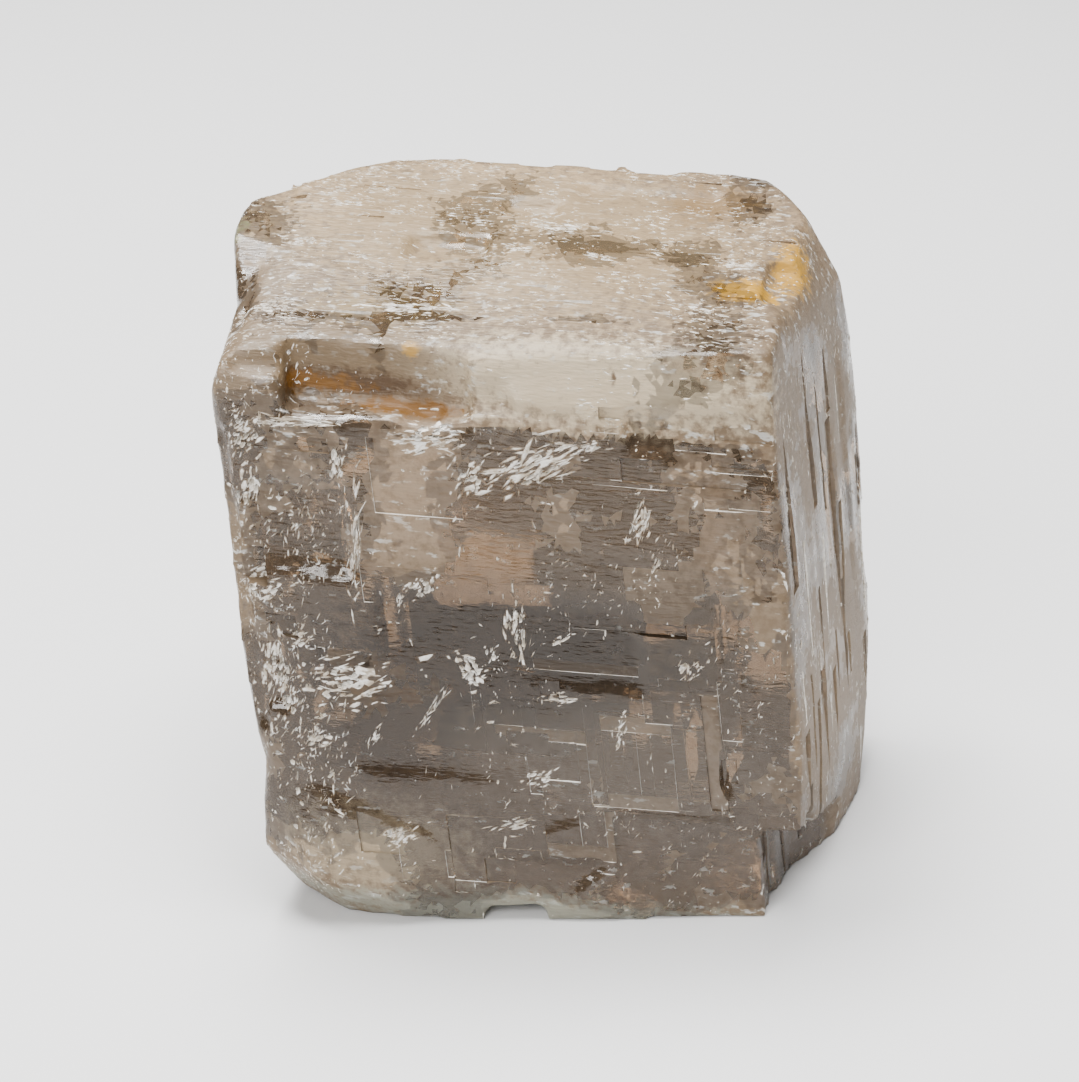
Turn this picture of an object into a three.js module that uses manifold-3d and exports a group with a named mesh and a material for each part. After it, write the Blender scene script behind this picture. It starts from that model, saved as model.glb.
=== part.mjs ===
// A cleavage block of optical calcite (Iceland spar), standing on its broken lower end.
// Millimetres, +Z up, origin on the ground under the middle of the block.
//
// Calcite splits along three directions 101.9 degrees apart, so nearly every flat on the block
// is parallel to one of three planes. The block is laid out in "cleavage millimetres" u, v, w,
// measured from its upper right front corner: u to the left, v downwards and w to the back.
import * as THREE from 'three';
import { ConvexGeometry } from 'three/addons/geometries/ConvexGeometry.js';
import { mergeVertices } from 'three/addons/utils/BufferGeometryUtils.js';
import Module from 'manifold-3d';

const wasm = await Module();
wasm.setup();

// ---- Driving dimensions -----------------------------------------------------------------

const LEFTWARDS = new THREE.Vector3(-0.9947, -0.0233, 0.1004).normalize();
const DOWNWARDS = new THREE.Vector3(0.1118, -0.1400, -0.9839).normalize();
const BACKWARDS = new THREE.Vector3(0.1937, 0.9767, 0.0926).normalize();
const CORNER_HEIGHT = 82.9;      // the upper right front corner above the ground
const REACH = 30;                // how far a cutter runs past the surface it opens

const FACET_SIZE = 12;           // longest facet edge after the flats are divided
const SWELL = 0.18;              // height of the slow waves in the old faces
const SWELL_LENGTH = 30;         // distance between their crests

const STONE = { color: 0x9a8d7c, roughness: 0.25, metalness: 0 };

// ---- Cleavage frame ---------------------------------------------------------------------

const cleavage = new THREE.Matrix4()
  .makeBasis(LEFTWARDS, DOWNWARDS, BACKWARDS)
  .setPosition(0, 0, CORNER_HEIGHT);

/** The place of a point given in cleavage millimetres. */
function place([u, v, w]) {
  return new THREE.Vector3(u, v, w).applyMatrix4(cleavage);
}

/** A small repeatable random number source, 0 to 1. */
function seeded(seed) {
  let state = seed;
  return () => {
    state = (state * 1664525 + 1013904223) % 4294967296;
    return state / 4294967296;
  };
}

// ---- Solids -----------------------------------------------------------------------------

/** A closed three.js geometry as a manifold solid. */
function solid(geometry) {
  const bare = geometry.clone();
  if (bare.hasAttribute('normal')) bare.deleteAttribute('normal');
  if (bare.hasAttribute('uv')) bare.deleteAttribute('uv');
  const merged = mergeVertices(bare, 1e-4);
  const mesh = new wasm.Mesh({
    numProp: 3,
    vertProperties: new Float32Array(merged.attributes.position.array),
    triVerts: new Uint32Array(merged.index.array),
  });
  return new wasm.Manifold(mesh);
}

/** The triangles that one triangle becomes when its marked edges are halved. */
function halved([a, b, c], [ab, bc, ca]) {
  const marks = [ab, bc, ca].filter((middle) => middle !== null).length;
  if (marks === 0) return [[a, b, c]];
  if (marks === 3) return [[a, ab, ca], [ab, b, bc], [ca, bc, c], [ab, bc, ca]];
  // Turn the triangle until its first edge is marked and its last is not.
  if (ab === null || ca !== null) return halved([b, c, a], [bc, ca, ab]);
  if (marks === 1) return [[a, ab, c], [ab, b, c]];
  return [[ab, b, bc], [a, ab, bc], [a, bc, c]];
}

/** Divides the faces of an indexed geometry until no edge is longer than the limit. */
function divided(geometry, limit) {
  const attribute = geometry.attributes.position;
  const points = Array.from({ length: attribute.count }, (_, i) => (
    new THREE.Vector3().fromBufferAttribute(attribute, i)
  ));
  const index = Array.from(geometry.index.array);
  let faces = Array.from({ length: index.length / 3 }, (_, i) => index.slice(3 * i, 3 * i + 3));
  let previous = 0;
  while (faces.length !== previous) {
    previous = faces.length;
    const middles = new Map();
    const middle = (i, j) => {
      if (points[i].distanceTo(points[j]) <= limit) return null;
      const edge = `${Math.min(i, j)}-${Math.max(i, j)}`;
      if (!middles.has(edge)) {
        middles.set(edge, points.length);
        points.push(points[i].clone().lerp(points[j], 0.5));
      }
      return middles.get(edge);
    };
    faces = faces.flatMap(([a, b, c]) => (
      halved([a, b, c], [middle(a, b), middle(b, c), middle(c, a)])
    ));
  }
  const result = new THREE.BufferGeometry().setFromPoints(points);
  return result.setIndex(faces.flat());
}

/** Moves every point a little, in slow waves, so that old faces are not dead flat. */
function waved(geometry) {
  const position = geometry.attributes.position;
  const point = new THREE.Vector3();
  const rate = (2 * Math.PI) / SWELL_LENGTH;
  for (let i = 0; i < position.count; i += 1) {
    point.fromBufferAttribute(position, i);
    const { x, y, z } = point;
    point.x += SWELL * (Math.sin(rate * y + 1.3) + Math.sin(0.61 * rate * z + 0.4));
    point.y += SWELL * (Math.sin(0.83 * rate * z + 2.1) + Math.sin(0.71 * rate * x + 0.9));
    point.z += SWELL * (Math.sin(0.77 * rate * x + 0.2) + Math.sin(0.92 * rate * y + 2.6));
    position.setXYZ(i, point.x, point.y, point.z);
  }
  return geometry;
}

/** A convex lump through corner points in cleavage millimetres, with old, wavy faces. */
function lump(corners) {
  const hull = new ConvexGeometry(corners.map(place));
  hull.deleteAttribute('normal');
  return solid(waved(divided(mergeVertices(hull, 1e-4), FACET_SIZE)));
}

/** A cleavage cell: a box sheared to the three cleavage directions. */
function cell([u0, u1], [v0, v1], [w0, w1]) {
  const box = new THREE.BoxGeometry(u1 - u0, v1 - v0, w1 - w0);
  box.translate((u0 + u1) / 2, (v0 + v1) / 2, (w0 + w1) / 2);
  box.applyMatrix4(cleavage);
  // The cleavage frame is left-handed, so the shear turns the faces inside out.
  if (cleavage.determinant() < 0) flip(box);
  return solid(box);
}

/** Turns every face of an indexed geometry over. */
function flip(geometry) {
  const index = geometry.index;
  for (let i = 0; i < index.count; i += 3) {
    const first = index.getX(i);
    index.setX(i, index.getX(i + 1));
    index.setX(i + 1, first);
  }
}

// ---- The block --------------------------------------------------------------------------

/** The unbroken block, its worn edges cut back to bevels. */
function makeBlock() {
  const front = [
    [1.0, 10.0, 0.3], [22.0, 9.9, 0], [66.8, 11.5, 0], [77.5, 7.5, 0.8],
    [79.6, 12.0, 1.5], [80.0, 16.0, 1.5], [79.6, 28.0, 1.2], [80.8, 42.0, 1.2],
    [80.2, 60.0, 1.5], [79.0, 67.0, 2.0], [76.0, 84.0, 3.0],
    [0.9, 34.0, 0], [0.3, 56.0, 0], [2.5, 76.0, 0], [9.0, 86.0, 0.4], [60.0, 84.0, 0.4],
  ];
  const top = [
    [0.4, 0.0, 5.0], [22.0, 2.2, 4.6], [33.0, 3.8, 4.8], [53.0, 4.6, 5.0], [70.0, 4.8, 5.0],
    [75.0, 5.8, 5.0], [66.0, 0.1, 62.0], [50.0, -0.9, 64.0], [36.0, -0.9, 64.5],
    [18.0, -1.4, 65.0], [8.0, -1.7, 62.0], [4.8, 0.6, 62.0], [0.0, -1.5, 50.0],
    [72.0, 0.0, 57.0], [78.0, 0.2, 49.0], [80.0, 6.9, 20.0],
  ];
  const right = [
    [-4.7, 7.5, 50.0], [-6.2, 19.0, 48.0], [-6.2, 39.0, 48.0], [-5.4, 61.0, 47.0],
    [-3.0, 80.0, 44.0], [-2.0, 90.0, 38.0], [-1.0, 24.0, 62.0], [-0.5, 70.0, 60.0],
  ];
  const left = [
    [83.5, 12.0, 36.0], [85.0, 44.0, 36.0], [83.0, 84.0, 14.0], [83.5, 90.0, 22.0],
    [84.0, 92.0, 34.0], [76.0, 20.0, 60.0], [74.0, 84.0, 55.0],
  ];
  const back = [
    [64.0, 12.0, 66.0], [12.0, 10.0, 67.5], [8.0, 78.0, 62.0], [62.0, 84.0, 60.0],
  ];
  const foot = [
    [80.0, 96.0, 14.0], [70.0, 96.0, 6.0], [52.0, 95.0, 3.0], [9.0, 92.0, 1.0],
    [70.0, 98.0, 48.0], [10.0, 96.0, 52.0], [0.0, 93.0, 36.0],
  ];
  return lump([...front, ...top, ...right, ...left, ...back, ...foot]);
}

/** The rounded lobe at the lower left front corner. */
function makeLobe() {
  return lump([
    [79.8, 66.5, 3.0], [82.2, 76.0, 4.5], [83.4, 83.0, 6.0], [83.2, 87.0, 9.0],
    [80.0, 92.0, 10.0], [72.0, 93.0, 5.8], [58.0, 92.0, 3.4], [52.0, 90.0, 5.0],
    [68.0, 72.0, -0.6], [57.0, 75.5, -0.3], [74.0, 83.0, -0.2], [62.0, 86.5, 0.2],
    [54.0, 85.0, 0.6], [84.5, 72.0, 26.0], [84.0, 92.0, 26.0], [56.0, 94.0, 26.0],
    [60.0, 70.0, 20.0],
  ]);
}

/** The low terrace at the left back of the top. */
function makeTerrace() {
  return lump([
    [83.6, 1.4, 31.0], [85.6, 2.8, 41.0], [84.4, 1.4, 46.0], [77.6, 1.2, 53.6],
    [66.0, 2.0, 55.0], [66.0, 3.5, 26.0], [81.0, 5.0, 24.0], [80.5, 9.0, 21.0],
    [84.0, 14.0, 38.0], [84.0, 14.0, 30.0], [70.0, 20.0, 50.0], [66.0, 20.0, 26.0],
  ]);
}

/** The front edge of the top, broken back to a low wall with a ledge at its foot. */
function frontLedge() {
  return [
    cell([68.8, 76.5], [-REACH, 8.2], [-REACH, 3.6]),
    cell([60.9, 69.2], [-REACH, 13.1], [-REACH, 5.6]),
    cell([52.8, 61.2], [-REACH, 12.6], [-REACH, 5.1]),
    cell([47.0, 53.0], [-REACH, 13.2], [-REACH, 4.5]),
    cell([43.2, 47.2], [-REACH, 12.4], [-REACH, 3.8]),
    cell([37.0, 43.4], [-REACH, 10.9], [-REACH, 2.0]),
  ];
}

/** Shallow stepped chips below the upper right front corner. */
function cornerChips() {
  return [
    cell([-REACH, 21.8], [8.0, 12.2], [-REACH, 1.7]),
    cell([-REACH, 21.2], [11.8, 14.6], [-REACH, 1.2]),
    cell([-REACH, 17.0], [14.2, 17.0], [-REACH, 0.9]),
    cell([-REACH, 12.6], [16.6, 19.0], [-REACH, 0.6]),
  ];
}

/** Steps in the front face round the raised plate at its lower right. */
function frontSteps() {
  return [
    cell([-REACH, 12.4], [57.5, 72.0], [-REACH, 0.9]),
    cell([11.6, 13.0], [57.8, 66.5], [-REACH, 2.2]),
    cell([-REACH, 30.0], [69.0, 99.0], [-REACH, 1.1]),
    cell([30.0, 49.0], [69.4, 78.0], [-REACH, 0.6]),
    cell([30.0, 49.0], [77.8, 99.0], [-REACH, 1.2]),
    cell([-REACH, 6.4], [19.0, 35.0], [-REACH, 0.5]),
    cell([6.0, 11.8], [34.0, 48.0], [-REACH, 0.45]),
    cell([22.0, 60.0], [36.8, 50.5], [-REACH, 0.5]),
    cell([46.5, 66.0], [50.2, 66.0], [-REACH, 0.6]),
    cell([62.0, 90.0], [22.0, 36.0], [-REACH, 1.0]),
    cell([74.0, 90.0], [44.0, 58.0], [-REACH, 2.0]),
  ];
}

/** Upright steps in the right face, which stands further out towards the back. */
function rightSteps() {
  return [
    cell([-REACH, 0.1], [15.0, 70.0], [-1.0, 3.0]),
    cell([-REACH, -0.5], [19.0, 64.0], [3.0, 8.0]),
    cell([-REACH, -1.2], [16.0, 74.0], [8.0, 14.0]),
    cell([-REACH, -1.7], [30.0, 84.0], [14.0, 18.0]),
    cell([-REACH, -2.6], [13.0, 62.0], [18.0, 25.0]),
    cell([-REACH, -3.2], [22.0, 78.0], [25.0, 30.0]),
    cell([-REACH, -4.2], [10.0, 66.0], [30.0, 38.0]),
    cell([-REACH, -5.0], [26.0, 58.0], [38.0, 43.0]),
    cell([-REACH, -5.4], [8.0, 50.0], [43.0, 60.0]),
    cell([-REACH, -3.0], [44.0, 76.0], [47.0, 70.0]),
    cell([-REACH, -1.4], [-REACH, 9.0], [52.0, 70.0]),
    cell([-REACH, 1.0], [20.0, 99.0], [57.0, 80.0]),
  ];
}

/** Steps in the left face and the back, larger and rougher than those in front. */
function hiddenSteps() {
  return [
    cell([82.2, 120.0], [18.0, 66.0], [9.0, 90.0]),
    cell([80.8, 120.0], [26.0, 52.0], [17.0, 90.0]),
    cell([81.0, 120.0], [16.0, 74.0], [33.0, 90.0]),
    cell([82.6, 120.0], [60.0, 99.0], [22.0, 90.0]),
    cell([78.0, 120.0], [30.0, 99.0], [41.0, 90.0]),
    cell([76.6, 120.0], [-REACH, 34.0], [49.0, 90.0]),
    cell([72.0, 120.0], [12.0, 99.0], [53.0, 90.0]),
    cell([-REACH, 120.0], [6.0, 30.0], [65.2, 90.0]),
    cell([46.0, 120.0], [-REACH, 7.0], [63.4, 90.0]),
    cell([24.0, 120.0], [18.0, 44.0], [63.4, 90.0]),
    cell([-REACH, 120.0], [36.0, 99.0], [62.0, 90.0]),
    cell([34.0, 62.0], [40.0, 70.0], [60.6, 90.0]),
    cell([-REACH, 20.0], [52.0, 99.0], [59.6, 90.0]),
    cell([54.0, 120.0], [62.0, 99.0], [57.0, 90.0]),
    cell([12.0, 120.0], [80.0, 99.0], [55.0, 90.0]),
    cell([-REACH, 9.0], [18.0, 40.0], [60.5, 90.0]),
    cell([66.0, 120.0], [76.0, 110.0], [44.0, 90.0]),
  ];
}

/** Shallow pits and steps in the top face, drawn out from left to right. */
function topSteps() {
  return [
    cell([46.0, 58.0], [-REACH, 1.9], [28.0, 35.0]),
    cell([38.0, 47.0], [-REACH, 0.9], [44.0, 49.0]),
    cell([6.0, 24.0], [-REACH, 0.4], [-REACH, 14.0]),
    cell([60.0, 80.0], [-REACH, 3.9], [-REACH, 12.0]),
    cell([14.0, 36.0], [-REACH, -0.4], [50.0, 56.0]),
    cell([-REACH, 4.0], [-REACH, 1.0], [20.0, 33.0]),
  ];
}

/** The broken lower right front corner: a square notch, and a slant under the right face. */
function cornerBreak() {
  const notch = cell([-REACH, 8.2], [71.6, 110.0], [-REACH, 8.0]);
  const slant = lump([
    [8.0, 73.0, 4.0], [7.6, 110.0, 4.0], [6.4, 76.5, 14.0], [6.4, 110.0, 14.0],
    [-2.6, 81.5, 29.0], [-2.6, 110.0, 29.0], [-40.0, 81.5, 29.0], [-40.0, 110.0, 29.0],
    [-40.0, 73.0, 4.0], [-40.0, 110.0, 4.0],
  ]);
  return notch.add(slant);
}

/** The hollow under the middle of the front lower edge. */
function makeFootNotch() {
  return lump([
    [51.5, 84.2, -REACH / 4], [40.0, 83.0, -REACH / 4], [52.0, 110.0, -REACH / 4],
    [36.0, 110.0, -REACH / 4], [49.5, 90.3, 10.0], [42.5, 89.6, 10.0],
    [49.5, 110.0, 12.0], [42.5, 110.0, 12.0],
  ]);
}

/** Small cells knocked out along one edge of the block, from one end to the other. */
function nicks(start, end, count, size, random) {
  const from = new THREE.Vector3(...start);
  const to = new THREE.Vector3(...end);
  const axis = new THREE.Vector3().subVectors(to, from);
  const along = ['x', 'y', 'z'].reduce((a, b) => (Math.abs(axis[a]) > Math.abs(axis[b]) ? a : b));
  return Array.from({ length: count }, () => {
    const middle = from.clone().lerp(to, random());
    const half = new THREE.Vector3(size, size, size).multiplyScalar(0.25 + 0.5 * random());
    half[along] *= 2 + 4 * random();
    return cell(
      [middle.x - half.x, middle.x + half.x],
      [middle.y - half.y, middle.y + half.y],
      [middle.z - half.z, middle.z + half.z],
    );
  });
}

/** Nicks along every long edge. */
function edgeNicks() {
  const random = seeded(41);
  return [
    ...nicks([80.2, 14.0, 1.2], [79.8, 66.0, 1.6], 16, 2.6, random),
    ...nicks([0.4, 20.0, 0.0], [0.2, 62.0, 0.0], 12, 1.3, random),
    ...nicks([0.2, -0.2, 6.0], [0.0, -1.5, 50.0], 9, 1.6, random),
    ...nicks([20.0, 9.9, 0.0], [40.0, 10.4, 0.0], 6, 1.3, random),
    ...nicks([66.0, 0.1, 62.0], [12.0, -1.4, 64.5], 9, 2.0, random),
    ...nicks([-6.2, 18.0, 48.0], [-4.4, 74.0, 46.0], 9, 2.2, random),
    ...nicks([84.8, 16.0, 36.0], [84.6, 80.0, 34.0], 10, 3.2, random),
    ...nicks([64.0, 12.0, 66.0], [62.0, 84.0, 60.0], 8, 3.0, random),
    ...nicks([12.0, 10.0, 67.5], [8.0, 78.0, 62.0], 8, 3.0, random),
    ...nicks([78.0, 6.0, 10.0], [83.0, 3.0, 34.0], 6, 1.8, random),
  ];
}

/** The ground: everything below it is cut away, which leaves the flat the block rests on. */
function makeGround() {
  const depth = 60;
  const slab = new THREE.BoxGeometry(400, 400, depth);
  slab.translate(0, 0, -depth / 2);
  return solid(slab);
}

/** The whole block as it lies. */
function carve() {
  const cutters = [
    ...frontLedge(), ...cornerChips(), ...frontSteps(), ...rightSteps(), ...hiddenSteps(),
    ...topSteps(), ...edgeNicks(),
  ];
  const stepped = cutters.reduce((body, cutter) => body.subtract(cutter), makeBlock());
  return stepped
    .add(makeLobe())
    .add(makeTerrace())
    .subtract(cornerBreak())
    .subtract(makeFootNotch())
    .subtract(makeGround());
}

// ---- Assembly ---------------------------------------------------------------------------

/** A manifold solid as a three.js geometry. */
function geometryOf(manifold) {
  const mesh = manifold.getMesh();
  const geometry = new THREE.BufferGeometry();
  geometry.setAttribute('position', new THREE.BufferAttribute(mesh.vertProperties, 3));
  geometry.setIndex(new THREE.BufferAttribute(mesh.triVerts, 1));
  return geometry;
}

/** Centres a geometry over the origin; its foot is on the ground already. */
function centred(geometry) {
  geometry.computeBoundingBox();
  const middle = geometry.boundingBox.getCenter(new THREE.Vector3());
  return geometry.translate(-middle.x, -middle.y, 0);
}

const geometry = centred(geometryOf(carve()));
const calcite = new THREE.Mesh(geometry, new THREE.MeshStandardMaterial(STONE));
calcite.name = 'calcite_block';

const part = new THREE.Group();
part.add(calcite);
export default part;
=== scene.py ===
"""Looks of an optical calcite block: a smoky, see-through cleavage rhomb with frosted bruises.

Lengths in the classes are millimetres unless a name ends in _m. The stone is laid out in
"cleavage millimetres" u, v, w, counted from its upper right front corner along its three
cleavage directions: u to the left, v downwards and w to the back.
"""

import logging
import math
import random
from dataclasses import dataclass, field
from enum import Enum, IntEnum
from typing import Iterable, Sequence

import bmesh
import bpy
from mathutils import Matrix, Vector, noise
from mathutils.bvhtree import BVHTree


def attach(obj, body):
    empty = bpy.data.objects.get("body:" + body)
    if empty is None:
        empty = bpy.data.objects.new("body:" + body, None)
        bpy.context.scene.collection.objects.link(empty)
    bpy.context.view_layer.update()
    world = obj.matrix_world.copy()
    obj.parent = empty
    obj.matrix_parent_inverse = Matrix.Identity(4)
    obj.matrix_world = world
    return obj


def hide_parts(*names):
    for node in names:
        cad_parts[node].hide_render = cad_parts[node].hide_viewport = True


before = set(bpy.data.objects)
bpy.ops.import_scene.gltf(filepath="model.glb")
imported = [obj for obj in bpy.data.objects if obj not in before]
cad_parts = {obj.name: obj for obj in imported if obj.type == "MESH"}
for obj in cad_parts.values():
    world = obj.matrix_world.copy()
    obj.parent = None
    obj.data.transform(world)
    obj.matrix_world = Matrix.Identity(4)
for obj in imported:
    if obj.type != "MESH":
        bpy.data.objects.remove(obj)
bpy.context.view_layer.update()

MM = 0.001
NODE = "calcite_block"
WELD = 1e-6
STANDS_BELOW = 0.7
PATCH_STEEPNESS = 2.0

log = logging.getLogger("calcite")

Span = tuple[float, float]
Pair = Sequence[float]
Triple = tuple[float, float, float]
Colour = tuple[float, float, float]


class Slot(IntEnum):
    """Material slots of the stone, from clear crystal to white powdered flakes."""

    CLEAR = 0
    VEIL = 1
    HAZE = 2
    FROST = 3
    FLECK = 4
    CRACK = 5


class Side(Enum):
    """A side of the stone: the cleavage axis it faces along, and which way it faces."""

    FRONT = (2, -1)
    BACK = (2, 1)
    TOP = (1, -1)
    RIGHT = (0, -1)
    LEFT = (0, 1)

    @property
    def axis(self) -> int:
        """Number of the cleavage axis that leads into the stone here."""
        return self.value[0]

    @property
    def sign(self) -> int:
        """1 if the side faces along its axis, -1 if it faces against it."""
        return self.value[1]


@dataclass(frozen=True)
class CleavageFrame:
    """The stone's three cleavage directions and the corner they are counted from."""

    leftwards: Vector = field(default_factory=lambda: Vector((-0.9947, -0.0233, 0.1004)))
    downwards: Vector = field(default_factory=lambda: Vector((0.1118, -0.1400, -0.9839)))
    backwards: Vector = field(default_factory=lambda: Vector((0.1937, 0.9767, 0.0926)))
    corner: Vector = field(default_factory=lambda: Vector((28.13, -25.08, 82.9)))

    @property
    def matrix(self) -> Matrix:
        """From cleavage millimetres to the part's frame.

        Returns:
            The matrix, in millimetres.
        """
        axes = [a.normalized() for a in (self.leftwards, self.downwards, self.backwards)]
        rows = [[axis[i] for axis in axes] + [self.corner[i]] for i in range(3)]
        return Matrix(rows + [[0.0, 0.0, 0.0, 1.0]])

    def place(self, point: Sequence[float]) -> Vector:
        """Where a point of the cleavage frame is.

        Args:
            point: Its u, v and w, in millimetres.

        Returns:
            Its place in the part's frame, in millimetres.
        """
        return self.matrix @ Vector(point)


@dataclass(frozen=True)
class Ripple:
    """A layer of smooth noise: its strength, and its waves per millimetre, roughly."""

    strength: float
    tightness: float

    def at(self, point: Vector) -> float:
        """Its value at a point."""
        return self.strength * noise.noise(point * self.tightness)


def with_axis(axis: int, others: Iterable, here: object) -> list:
    """Puts what belongs to one cleavage axis between what belongs to the other two, in order.

    Args:
        axis: Number of the axis.
        others: What belongs to the other two axes.
        here: What belongs to this one.

    Returns:
        The three in the order u, v, w.
    """
    items = list(others)
    items.insert(axis, here)
    return items


def pile(ripples: Iterable[Ripple], point: Vector) -> float:
    """The sum of some layers of noise at a point."""
    return sum(ripple.at(point) for ripple in ripples)


def draw_even(draw: random.Random, span: Span) -> float:
    """Draws a size between two bounds, with small ones as likely as large ones by ratio."""
    return math.exp(draw.uniform(*map(math.log, span)))


# ---- Mesh helpers -----------------------------------------------------------------------


def add_object(name: str, mesh: bpy.types.Mesh) -> bpy.types.Object:
    """Links a mesh to the scene as a new object.

    Args:
        name: The object's name.
        mesh: The mesh it shows.

    Returns:
        The new object.
    """
    piece = bpy.data.objects.new(name, mesh)
    bpy.context.scene.collection.objects.link(piece)
    return piece


def add_slots(mesh: bpy.types.Mesh) -> None:
    """Gives a mesh all the stone's material slots, in order."""
    for slot in Slot:
        mesh.materials.append(bpy.data.materials.get(slot.name))


def settle(piece: bpy.types.Object) -> None:
    """Makes what a piece's modifiers show into its own mesh.

    Args:
        piece: The piece, whose modifiers are used up.
    """
    graph = bpy.context.evaluated_depsgraph_get()
    shown = bpy.data.meshes.new_from_object(piece.evaluated_get(graph))
    used_up = piece.data
    piece.modifiers.clear()
    piece.data = shown
    bpy.data.meshes.remove(used_up)


def hull(
    points: Iterable[Vector], slot: Slot, wall: Slot | None = None, up: Vector | None = None
) -> bpy.types.Object:
    """A closed convex lump.

    Args:
        points: Places that it reaches.
        slot: The material slot of its faces.
        wall: The slot of the faces that stand along up, where they differ.
        up: The direction that those faces stand along, to within STANDS_BELOW as a cosine.

    Returns:
        A new object with one closed mesh.
    """
    shape = bmesh.new()
    corners = [shape.verts.new(point) for point in points]
    made = bmesh.ops.convex_hull(shape, input=corners)
    inside = {item for item in made["geom_interior"] if isinstance(item, bmesh.types.BMVert)}
    bmesh.ops.delete(shape, geom=list(inside), context="VERTS")
    bmesh.ops.recalc_face_normals(shape, faces=shape.faces)
    mesh = bpy.data.meshes.new("cutter")
    add_slots(mesh)
    for face in shape.faces:
        stands = up is not None and abs(face.normal.dot(up)) < STANDS_BELOW
        face.material_index = int(wall if stands else slot)
    shape.to_mesh(mesh)
    shape.free()
    return add_object("cutter", mesh)


# ---- Shaping the stone ------------------------------------------------------------------


@dataclass
class Probe:
    """Finds where the stone's surface lies under a point of one of its sides."""

    body: bpy.types.Object
    axes: CleavageFrame
    far: float = 140.0

    def __post_init__(self) -> None:
        """Reads the body's surface as it is now."""
        graph = bpy.context.evaluated_depsgraph_get()
        self.tree = BVHTree.FromObject(self.body, graph)
        self.inverse = self.axes.matrix.inverted()

    def land(self, side: Side, place: Pair) -> tuple[Vector, Vector] | None:
        """Where a line along a side's axis first meets the stone, and how the stone faces.

        Args:
            side: The side the line comes in through.
            place: Where it does, along the two other cleavage directions.

        Returns:
            The point and its normal in the part's frame, or None if the line misses.
        """
        origin = self.axes.place(with_axis(side.axis, place, self.far * side.sign))
        end = self.axes.place(with_axis(side.axis, place, -self.far * side.sign))
        hit, normal, _, _ = self.tree.ray_cast(origin, (end - origin).normalized())
        return None if hit is None else (hit, normal)

    def depth(self, side: Side, place: Pair) -> float | None:
        """The meeting place's coordinate on the side's axis, or None if the line misses."""
        landed = self.land(side, place)
        return None if landed is None else (self.inverse @ landed[0])[side.axis]


@dataclass
class Carver:
    """Cuts lumps out of the stone, many at a time."""

    body: bpy.types.Object
    axes: CleavageFrame
    cutters: list[bpy.types.Object] = field(default_factory=list)

    def cell(
        self, spans: Sequence[Span], side: Side, wall: Slot, floor: Slot = Slot.CLEAR
    ) -> None:
        """Adds a cleavage cell to what is cut.

        Args:
            spans: Its extent along each cleavage direction.
            side: The side that it is cut from.
            wall: The material slot of the step's walls.
            floor: The material slot of its floor.
        """
        corners = [(u, v, w) for u in spans[0] for v in spans[1] for w in spans[2]]
        up = self.axes.matrix.col[side.axis].to_3d()
        places = [self.axes.place(corner) for corner in corners]
        self.cutters.append(hull(places, floor, wall, up))

    def lump(self, corners: Iterable[Sequence[float]], slot: Slot) -> None:
        """Adds a convex lump to what is cut.

        Args:
            corners: Points, in cleavage millimetres, that it reaches.
            slot: The material slot of the faces that it leaves.
        """
        self.cutters.append(hull([self.axes.place(corner) for corner in corners], slot))

    def cut(self) -> int:
        """Takes all the lumps out of the body.

        Returns:
            The number of lumps.
        """
        count = len(self.cutters)
        group = bpy.data.collections.new("cutters")
        bpy.context.scene.collection.children.link(group)
        for cutter in self.cutters[1:]:
            bpy.context.scene.collection.objects.unlink(cutter)
            group.objects.link(cutter)
        joined = self.cutters[0]
        union = joined.modifiers.new("join", "BOOLEAN")
        union.solver = "MANIFOLD"
        union.operation = "UNION"
        union.operand_type = "COLLECTION"
        union.collection = group
        union.material_mode = "INDEX"
        settle(joined)
        cut = self.body.modifiers.new("cut", "BOOLEAN")
        cut.solver = "MANIFOLD"
        cut.operation = "DIFFERENCE"
        cut.object = joined
        cut.material_mode = "INDEX"
        settle(self.body)
        for cutter in self.cutters:
            bpy.data.meshes.remove(cutter.data)
        bpy.data.collections.remove(group)
        self.cutters.clear()
        return count


@dataclass(frozen=True)
class Scatter:
    """Marks strewn at random over part of one side."""

    side: Side
    count: int
    area: tuple[Span, Span]
    length: Span
    width: Span
    depth: Span
    seed: int


@dataclass(frozen=True)
class FleckField:
    """White slivers strewn in ragged clumps over part of one side.

    clump is the noise level above which they stay; turns is the usual direction of their long
    way and its spread.
    """

    side: Side
    count: int
    area: tuple[Span, Span]
    length: Span
    width: Span
    seed: int
    clump: float
    turns: Span


@dataclass(frozen=True)
class Bruise:
    """One frosted flake scar.

    place is its middle along the side's two in-plane directions, in order u, v, w without the
    side's own axis; turn is the angle of its long way from the first of them.
    """

    side: Side
    place: tuple[float, float]
    length: float
    width: float
    turn: float
    depth: float = 0.5


@dataclass(frozen=True)
class Crack:
    """A thin air-filled cleavage crack inside the stone, across one cleavage axis.

    spans are its extent along the other two axes, in order u, v, w.
    """

    axis: int
    at: float
    spans: tuple[Span, Span]
    seed: int
    gap: float = 0.05


@dataclass(frozen=True)
class Plate:
    """One thin cleavage plate lost from the front, at a listed place.

    across and down are its extent leftwards and downwards; depth is how much stone it took.
    """

    across: Span
    down: Span
    depth: float
    floor: Slot
    wall: Slot = Slot.FROST


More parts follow.
